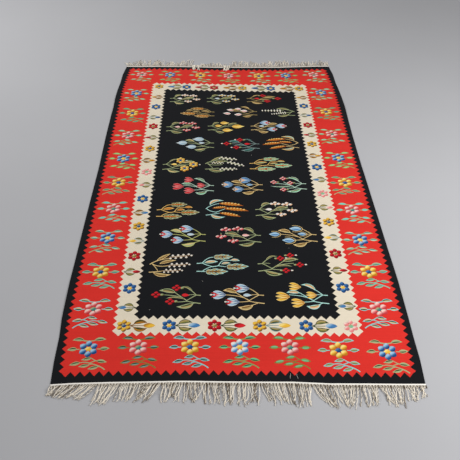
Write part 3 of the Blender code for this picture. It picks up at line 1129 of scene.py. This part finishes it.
# Place of each flower, its finish, then its bud's leaf finish and yarns; at the far end the buds
# lie to the left of their flowers
CREAM_ROWS = {
    "near": (
        (-589, "yellow", "bud tan", "gold", "ochre"),
        (-352, "blue", "bud green", "blue", "sky"),
        (-113, "red", "bud green", "scarlet", "wine"),
        (124, "yellow", "bud pale", "gold", "butter"),
        (368, "blue", "bud green", "blue", "sky"),
        (603, "pink", None, None, None),
    ),
    "far": (
        (-586, "yellow", None, None, None),
        (-352, "blue", "bud green", "blue", "slate"),
        (-120, "red", "bud green", "wine", "scarlet"),
        (118, "yellow", "bud tan", "ochre", "ochre"),
        (356, "blue", "bud green", "navy", "blue"),
        (594, "yellow", "bud tan", "ochre", "ochre"),
    ),
}
CREAM_COLUMN_X = {"left": -586, "right": 602}
CREAM_COLUMN_Y = {
    "left": (1007, 866, 722, 605, 464, 327, 188, 62, -76, -215, -347, -468, -593, -714, -835, -954, -1087),
    "right": (1032, 903, 765, 627, 494, 380, 240, 112, -24, -165, -300, -433, -567, -697, -827, -949, -1078),
}
# From the far end, buds and flowers in turn: a flower's finish, or a bud's leaf finish and yarns;
# the first bud points left, the next right
FAR_COLUMN = (
    ("bud tan", "ochre", "gold"), "blue", ("bud pale", "navy", "blue"), "red",
    ("bud green", "wine", "scarlet"), "yellow", ("bud tan", "ochre", "gold"),
)
NEAR_COLUMN = (
    "yellow", ("bud pale", "gold", "butter"), "red", ("bud green", "wine", "scarlet"), "blue",
    ("bud green", "blue", "slate"),
)
CREAM_COLUMN = {
    "left": (*FAR_COLUMN, "pink", ("bud green", "pink", "blush"), "blue", ("bud tan", "blue", "slate"),
             *NEAR_COLUMN),
    "right": (*FAR_COLUMN, "blue", ("bud green", "blue", "slate"), "pink", ("bud green", "pink", "blush"),
              *NEAR_COLUMN),
}

# Field rows from the far end: 1 where they point right and -1 left, and their height; then x, y,
# head, yarns, tip, leaf finish, and how far each sprig reaches towards its root and its tip
FIELD = (
    (1, 0.90,
     (-354, 984, "fan", ("white", "white", "peach"), None, "olive tan", 0.86, 0.92),
     (-46, 994, "fan", ("ice", "ice", "gold"), None, "field sage", 0.90, 1.0),
     (280, 1002, "cluster", ("scarlet", "scarlet", "wine"), None, "brown", 0.90, 1.1)),
    (-1, 0.88,
     (-251, 788, "feather", ("tan", "brown"), "amber", "brown", 0.97, 1.0),
     (83, 806, "drop", ("white", "pink"), None, "brown", 0.94, 0.94),
     (385, 815, "spike", ("white", "cream"), "sage", "field sage", 0.94, 1.04)),
    (1, 0.91,
     (-350, 590, "fan", ("blush", "pink", "rose"), None, "field sage", 0.91, 0.93),
     (-28, 602, "goblet", ("butter", "gold", "ochre"), None, "field sage", 0.94, 1.0),
     (295, 603, "tulip", ("ice", "sky", "blue"), "scarlet", "tan", 0.91, 0.95)),
    (-1, 0.97,
     (-264, 385, "lens", ("ice", "sky", "slate"), None, "olive tan", 0.98, 0.90),
     (72, 373, "cluster", ("scarlet", "scarlet", "wine"), "white", "slate teal", 0.97, 0.88),
     (365, 390, "wheat", ("amber", "copper"), None, "gold aqua", 0.97, 0.88)),
    (1, 0.98,
     (-352, 135, "daisy", ("butter", "gold"), "yellow", "olive tan", 0.87, 0.92),
     (-50, 150, "droop", ("white", "cream"), "sage", "field sage", 0.92, 0.98),
     (286, 138, "feather", ("lichen", "mint"), "copper", "honey mint", 1.12, 1.06)),
    (-1, 0.97,
     (-263, -92, "crown", ("pink", "scarlet", "wine"), None, "mint brown", 0.98, 0.96),
     (69, -85, "tulip", ("sky", "blue", "navy"), "peach", "tan", 0.96, 0.90),
     (363, -75, "twig", ("blush", "pink", "rose"), None, "mint brown", 0.96, 1.02)),
    (1, 0.98,
     (-347, -335, "feather", ("lichen", "olive"), "copper", "honey", 1.0, 1.0),
     (-40, -315, "wheat", ("amber", "copper"), None, "pale aqua", 0.92, 1.0),
     (286, -327, "fan", ("white", "white", "peach"), None, "field sage", 0.94, 1.0)),
    (-1, 1.0,
     (-315, -549, "tulip", ("ice", "sky", "blue"), "scarlet", "lime", 1.0, 0.91),
     (22, -557, "fan", ("blush", "pink", "rose"), None, "field sage", 1.0, 0.97),
     (356, -551, "bud", ("sky", "blue"), "tan", "tan", 1.05, 1.0)),
    (1, 0.98,
     (-366, -779, "ear", ("white", "cream"), "brown", "tan", 0.87, 0.96),
     (-65, -787, "feather", ("pale aqua", "khaki"), "brown", "pale aqua", 1.10, 1.08),
     (281, -784, "berries", ("scarlet", "scarlet", "wine"), "white", "field sage", 0.98, 1.0)),
    (-1, 1.0,
     (-324, -1013, "cluster", ("scarlet", "scarlet", "wine"), None, "field sage", 0.92, 1.0),
     (12, -1013, "tulip", ("ice", "sky", "navy"), "scarlet", "tan", 1.0, 1.0),
     (363, -1013, "crown", ("straw", "gold", "ochre"), None, "pale aqua", 1.0, 1.0)),
)


# From a small flower to its bud's joint, and the size of the side borders' buds
BUD_JOINT = {"row": 42, "column": 41}
COLUMN_BUD_SIZE = 0.74


def red_border():
    """All large sprays of the red border."""
    parts = []
    for end, places in RED_ROW_PLACES.items():
        for (x, y), (flower, leaf) in zip(places, RED_ROWS[end]):
            parts.append(moved(border_spray(flower, leaf), x, y))
    for side, x in RED_COLUMN_X.items():
        mirror = -1
        for y, (flower, leaf) in zip(RED_COLUMN_Y[side], RED_COLUMN):
            parts.append(moved(border_spray(flower, leaf), x, y, mirror=mirror))
            mirror = -mirror
    return join(*parts)


def cream_border():
    """All small flowers and buds of the cream border."""
    parts = []
    for end, table in CREAM_ROWS.items():
        mirror = 1 if end == "near" else -1
        y = CREAM_ROW_Y[end]
        for x, flower, leaf, yarn, inner in table:
            parts.append(moved(small_flower(flower), x, y))
            if yarn:
                joint = x + BUD_JOINT["row"] * mirror
                parts.append(moved(bud_group(leaf, yarn, inner), joint, y, mirror=mirror))
    for side, x in CREAM_COLUMN_X.items():
        mirror = -1
        for y, made in zip(CREAM_COLUMN_Y[side], CREAM_COLUMN[side]):
            if isinstance(made, str):
                parts.append(moved(small_flower(made), x, y))
            else:
                joint = x - BUD_JOINT["column"] * mirror
                parts.append(moved(bud_group(*made, COLUMN_BUD_SIZE), joint, y, mirror=mirror))
                mirror = -mirror
    return join(*parts)


def field():
    """All sprigs of the black field."""
    parts = []
    for mirror, height, *sprigs in FIELD:
        for x, y, head, bloom, tip, leaf, to_root, to_tip in sprigs:
            made = fitted(sprig(head, bloom, tip, leaf), to_root, to_tip, height)
            parts.append(moved(made, x, y, mirror=mirror))
    return join(*parts)


# Fringe


def tubes(paths, radii):
    """Round cords along many paths. Each ring lies square to its path: the side direction is +X
    with its share along the path taken out, and the third direction is their cross product. Both
    ends are closed. Returns points, quads, and for each corner the way round and the length."""
    heading = np.gradient(paths, axis=1)
    heading /= np.linalg.norm(heading, axis=-1, keepdims=True)
    beside = np.array([1.0, 0.0, 0.0]) - heading[..., :1] * heading
    beside /= np.linalg.norm(beside, axis=-1, keepdims=True)
    over = np.cross(beside, heading)
    way = np.arange(CORD_SIDES) / CORD_SIDES
    angle = 2 * np.pi * way[:, None]
    ring = beside[:, :, None] * np.cos(angle) + over[:, :, None] * np.sin(angle)
    points = (paths[:, :, None] + ring * radii[:, :, None, None]).reshape(-1, 3)
    count, steps = paths.shape[:2]
    first = np.array([(0, 1, 2, 3), (0, 3, 4, 5)])
    last = first[:, ::-1] + (steps - 1) * CORD_SIDES
    caps = np.arange(count)[:, None, None] * steps * CORD_SIDES + np.concatenate([first, last])
    quads = np.concatenate([grid_quads(count, steps, CORD_SIDES, closed=True), caps.reshape(-1, 4)])
    length = np.linalg.norm(np.diff(paths, axis=1, prepend=paths[:, :1]), axis=-1).cumsum(1)
    flat = np.stack(np.broadcast_arrays(way, length[..., None]), -1).reshape(-1, 2)
    corners = flat[quads]
    wraps = (np.ptp(corners[..., 0], axis=1) > 0.5)[:, None] & (corners[..., 0] < 0.25)
    corners[..., 0] += wraps
    return points, quads, corners


def lock_values(roots, groups):
    """Lean and reach of each lock, read evenly between its group's first and last values."""
    group = np.searchsorted(groups[:, 0], roots)
    starts = np.concatenate([[-CORNER_WIDTH / 2], groups[:-1, 0]])
    share = (roots - starts[group]) / (groups[group, 0] - starts[group])
    _, first_lean, last_lean, first_reach, last_reach = groups[group].T
    return first_lean + (last_lean - first_lean) * share, first_reach + (last_reach - first_reach) * share


def lock_roots():
    """X of each lock's root, evenly spread over the corner width."""
    pitch = CORNER_WIDTH / LOCK_COUNT
    return -CORNER_WIDTH / 2 + pitch * (np.arange(LOCK_COUNT) + 0.5)


def turned(roots):
    """True for locks of the tufts that are thrown back over the cloth."""
    return np.any([(roots > first) & (roots < last) for first, last in TURNED_BACK], 0)


def cord_colours(shades, rings):
    """Quad corner colours of cords from each cord's painted light or shade, browner where it is dark
    as painted shadow, and darker in the first sixth as painted shade by the knot. No channel passes
    the brightest share of the light. Side quads come first, then four cap quads each."""
    # Darker cords are made browner, the colour of the painted shadow between the strands.
    colour = shades ** np.array([0.9, 1.0, 1.15]) * linear(YARNS["warp"])[None]
    colour = colour / np.maximum(colour.max(1, keepdims=True) / BRIGHTEST, 1)
    # Painted shade by the knot: the first sixth of each cord is darker.
    painted_shade_by_knot = 0.60 + 0.40 * np.clip((np.linspace(0, 1, rings) - 0.05) * 7, 0, 1)
    sides = (colour[:, None] * painted_shade_by_knot[None, :-1, None]).repeat(CORD_SIDES, 1).reshape(-1, 3)
    caps = (colour[:, None] * painted_shade_by_knot[None, [0, 0, -1, -1], None]).reshape(-1, 3)
    made = np.ones((len(sides) + len(caps), 4, 4))
    made[..., :3] = np.concatenate([sides, caps])[:, None]
    return made


def tuft_lines(end, groups, t, rng):
    """Middle lines of one end's tufts, which of them are thrown back, and a phase for each. A
    tuft leaves its knot, leans with the square of its length as its lock does, strays from its
    neighbours, and waves; a low hump lifts it off the floor. A tuft that is thrown back follows
    the turn path instead."""
    roots = lock_roots()
    lean, reach = lock_values(roots, groups)
    tufts = TUFTS_IN_A_LOCK * LOCK_COUNT
    lock = np.repeat(np.arange(LOCK_COUNT), TUFTS_IN_A_LOCK)
    side = np.tile(np.linspace(-1, 1, TUFTS_IN_A_LOCK), LOCK_COUNT)
    is_back = (turned(roots) & (end > 0))[lock][:, None]
    root = (roots[lock] + side * TUFT_SPREAD)[:, None]
    edge = (end_edge(roots[lock], end) + end * (STRIP_GAP + STRIP_WIDTH - TUFT_DEPTH))[:, None]
    stray = (side * rng.uniform(-0.001, 0.006, tufts) + rng.normal(0, STRAYS[end], tufts))[:, None]
    size = rng.uniform(*LENGTHS[end], tufts)[:, None]
    phase = rng.uniform(0, 2 * np.pi, (3, tufts, 1))
    wave = rng.uniform(0.001, 0.0080, (tufts, 1))
    x = root + lean[lock][:, None] * t * (0.5 + 0.5 * t) + stray * t**1.4
    x = x + wave * t * np.sin(7 * t + phase[0])
    y = edge + end * reach[lock][:, None] * size * t + 0.4 * wave * t * np.sin(6 * t + phase[1])
    hump = rng.uniform(0.0010, 0.0080, (tufts, 1))
    z = 2.1 * CORD_RADIUS + hump * np.sin(np.pi * np.clip(t * 1.1, 0, 1))

    stations = np.linspace(0, 1, len(TURN_PATH))
    outwards, height = (np.interp(t[0], stations, column) for column in TURN_PATH.T)
    inwards = rng.uniform(0.80, 1.12, (tufts, 1))
    y = np.where(is_back, edge + np.where(outwards > 0, outwards, outwards * inwards), y)
    x = np.where(is_back, x - 0.5 * stray * t**1.4, x)
    z = np.where(is_back, height[None] + 0.0006 * (1 + np.sin(phase[0])), z)
    return np.stack([x, y, z], -1), is_back, phase[2]


def build_fringe(name, end, groups, finish, seed):
    """Cords of one end: two in each tuft, which wind round its middle line by a helix and part
    near the tip, on the floor or above it."""
    rng = np.random.default_rng(seed)
    t = np.linspace(0, 1, CORD_STEPS)[None]
    middle, is_back, phase = tuft_lines(end, groups, t, rng)
    tufts = len(middle)
    paths = []
    for strand in (0, 1):
        turn = 2 * np.pi * t * rng.uniform(3.5, 6.0, (tufts, 1)) + phase + strand * np.pi
        parting = 2.0 * np.clip(t - 0.72, 0, 1) * rng.uniform(0.2, 3.0, (tufts, 1))
        apart = CORD_RADIUS * (0.95 + parting)
        paths.append(middle + np.stack([apart * np.cos(turn), 0 * turn, 0.8 * apart * np.sin(turn)], -1))
    paths = np.concatenate(paths)
    paths[..., 2] = np.maximum(paths[..., 2], CORD_RADIUS * 1.05)
    radii = CORD_RADIUS * rng.uniform(0.85, 1.12, (2 * tufts, 1)) * (1 - 0.3 * t**3)
    thrown = np.tile(is_back, (2, 1))
    points, quads, corners = tubes(paths, radii * np.where(thrown, THROWN_CORD, 1.0))
    # Painted light and shade: most cords lighter than their yarn, one in five dark for the shade between
    # strands, thrown-back cords light.
    shades = np.where(thrown, THROWN_PAINTED_LIGHT, rng.choice(CORD_PAINTED_SHADES, thrown.shape))
    return make_piece(name, points, quads, finish, corners, cord_colours(shades, CORD_STEPS))


def build_knots(name, end, finish, seed):
    """A knot at each lock's root: a short barrel whose radius is a half sine of its length, lighter
    than its yarn as painted light. Beside each lies a short straight dark cord that paints the shadow
    between the knots, darkest at the near end."""
    rng = np.random.default_rng(seed)
    roots = lock_roots()
    t = np.linspace(0, 1, KNOT_STEPS)[None]
    edge = (end_edge(roots, end) + end * (STRIP_GAP + STRIP_WIDTH - KNOT_DEPTH))[:, None]
    length = rng.uniform(0.0062, 0.0080, (LOCK_COUNT, 1))
    x = roots[:, None] + rng.normal(0, 0.0006, (LOCK_COUNT, 1)) + 0.0008 * t
    radii = rng.uniform(0.0023, 0.0028, (LOCK_COUNT, 1)) * (0.45 + 0.55 * np.sin(np.pi * t))
    height = np.broadcast_to(radii.max(1, keepdims=True), x.shape)
    knots = np.stack([x, edge + end * length * t, height], -1)
    # The stubs are dark cords that paint the shadow between the knots.
    shadow_stub_height = np.full(x.shape, SHADOW_STUB_RADIUS)
    shadow_stubs = np.stack([x + CORNER_WIDTH / LOCK_COUNT / 2, edge + end * SHADOW_STUB_LENGTH * t, shadow_stub_height], -1)
    points, quads, corners = tubes(np.concatenate([knots, shadow_stubs]), np.concatenate([radii, shadow_stub_height]))
    # Painted light on the knots and painted shadow on the stubs.
    shades = np.repeat([KNOT_PAINTED_LIGHT, SHADOW_STUB_SHADES[end]], LOCK_COUNT)[:, None]
    return make_piece(name, points, quads, finish, corners, cord_colours(shades, KNOT_STEPS))


def build_strip(name, end, finish):
    """Heading strip: a flat oval section of eight points carried along the end's curve."""
    stations = np.linspace(-CORNER_WIDTH / 2, CORNER_WIDTH / 2, STRIP_STEPS)
    outwards = np.array([0.0, 0.12, 0.5, 0.88, 1.0, 0.88, 0.5, 0.12])
    height = np.array([0.5, 0.92, 1.0, 0.92, 0.5, 0.08, 0.0, 0.08])
    inner = end_edge(stations, end) + end * STRIP_GAP
    y = inner[:, None] + end * STRIP_WIDTH * outwards[None]
    x, z = np.broadcast_arrays(stations[:, None], STRIP_THICK * height[None])
    points = np.stack([x, y, z], -1).reshape(-1, 3)
    sides = len(outwards)
    cap = np.array([(0, 1, 6, 7), (1, 2, 5, 6), (2, 3, 4, 5)])
    caps = np.concatenate([cap, cap[:, ::-1] + (STRIP_STEPS - 1) * sides])
    quads = np.concatenate([grid_quads(1, STRIP_STEPS, sides, closed=True), caps])
    if end > 0:
        quads = quads[:, ::-1]
    return make_piece(name, points, quads, finish, points[:, :2][quads])


def build_lint(finish):
    """Loose threads and specks: thin cords whose path is a straight line bent by half a sine."""
    t = np.linspace(-0.5, 0.5, LINT_STEPS)[None]
    x0, y0, angle, length = LINT.T[:, :, None]
    x = x0 + np.cos(angle) * length * t
    y = y0 + np.sin(angle) * length * t + 0.1 * length * np.cos(np.pi * t)
    z = lift(x, y) + ripple(x, y) + CLOTH_THICK + LINT_LIFT
    points, quads, corners = tubes(np.stack([x, y, z], -1), np.full(x.shape, LINT_RADIUS))
    colours = np.ones((len(quads), 4, 4))
    colours[..., :3] = linear(YARNS["white"])
    return make_piece("lint", points, quads, finish, corners, colours)


# Studio


def build_floor():
    """A plain pale floor, out to where the camera no longer sees it, faintly uneven in its grey."""
    corners = [(x * FLOOR_REACH, y * FLOOR_REACH, 0) for x, y in ((-1, -1), (1, -1), (1, 1), (-1, 1))]
    mesh = bpy.data.meshes.new("floor")
    mesh.from_pydata(corners, [], [(0, 1, 2, 3)])
    made, tree, shader = new_finish("studio_floor")
    grey = calc(tree, "MULTIPLY_ADD", noise(tree, object_place(tree), 1.3, 3.0), 0.03, FLOOR_GREY)
    colour = add(tree, "ShaderNodeCombineXYZ", grey, grey, calc(tree, "MULTIPLY", grey, 1.03)).outputs[0]
    tree.links.new(colour, shader.inputs["Base Color"])
    set_values(shader, {"Roughness": 0.9, "Specular IOR Level": 0.2})
    mesh.materials.append(made)
    floor = bpy.data.objects.new("floor", mesh)
    bpy.context.scene.collection.objects.link(floor)


def build_light(name, place, target, size, power):
    """A square soft light that looks at a point."""
    data = bpy.data.lights.new(name, "AREA")
    data.shape = "SQUARE"
    data.size = size
    data.energy = power
    made = bpy.data.objects.new(name, data)
    made.location = place
    direction = mathutils.Vector(target) - made.location
    made.rotation_euler = direction.to_track_quat("-Z", "Y").to_euler()
    bpy.context.scene.collection.objects.link(made)


def build_studio():
    """Even sky light, and two large soft lights, the stronger one at the near right."""
    world = bpy.data.worlds.new("studio")
    world.use_nodes = True
    set_values(world.node_tree.nodes["Background"], {"Color": (1.0, 1.0, 1.01, 1.0), "Strength": SKY})
    bpy.context.scene.world = world
    for light in LIGHTS:
        build_light(*light)


def build_camera():
    """The photograph's viewpoint: standing height at the near end, a little to the left."""
    data = bpy.data.cameras.new("camera")
    data.sensor_width = 36.0
    data.lens = LENS
    data.shift_x = SHIFT
    made = bpy.data.objects.new("camera", data)
    made.location = CAMERA_PLACE
    made.rotation_euler = [math.radians(turn) for turn in CAMERA_TURNS]
    bpy.context.scene.collection.objects.link(made)
    bpy.context.scene.camera = made


def main():
    build_camera()
    build_studio()
    build_floor()
    bpy.context.scene.view_settings.view_transform = "Standard"

    ground = woven_wool("rug_ground", ground_colour)
    figures = woven_wool("rug_figures", drawn_colour)
    cord_finish = plied_cotton("fringe_cord")
    strip_finish = plain_cotton("heading_weave")

    cloth = build_cloth(ground)
    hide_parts("cloth")
    going = []
    for area, draw in (("red_border", red_border), ("cream_border", cream_border), ("field", field)):
        for kind, strokes in draw().items():
            going.append(build_shapes(f"{area}_{kind}", kind, strokes, figures))
    for end, side, groups, seed in (("near", -1, NEAR_GROUPS, 11), ("far", 1, FAR_GROUPS, 23)):
        strip = build_strip(f"{end}_heading", side, strip_finish)
        cords = build_fringe(f"{end}_fringe_cords", side, groups, cord_finish, seed)
        knots = build_knots(f"{end}_knots", side, cord_finish, seed + 1)
        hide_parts(f"{end}_fringe")
        going += [strip, cords, knots]
    going.append(build_lint(cord_finish))


main()
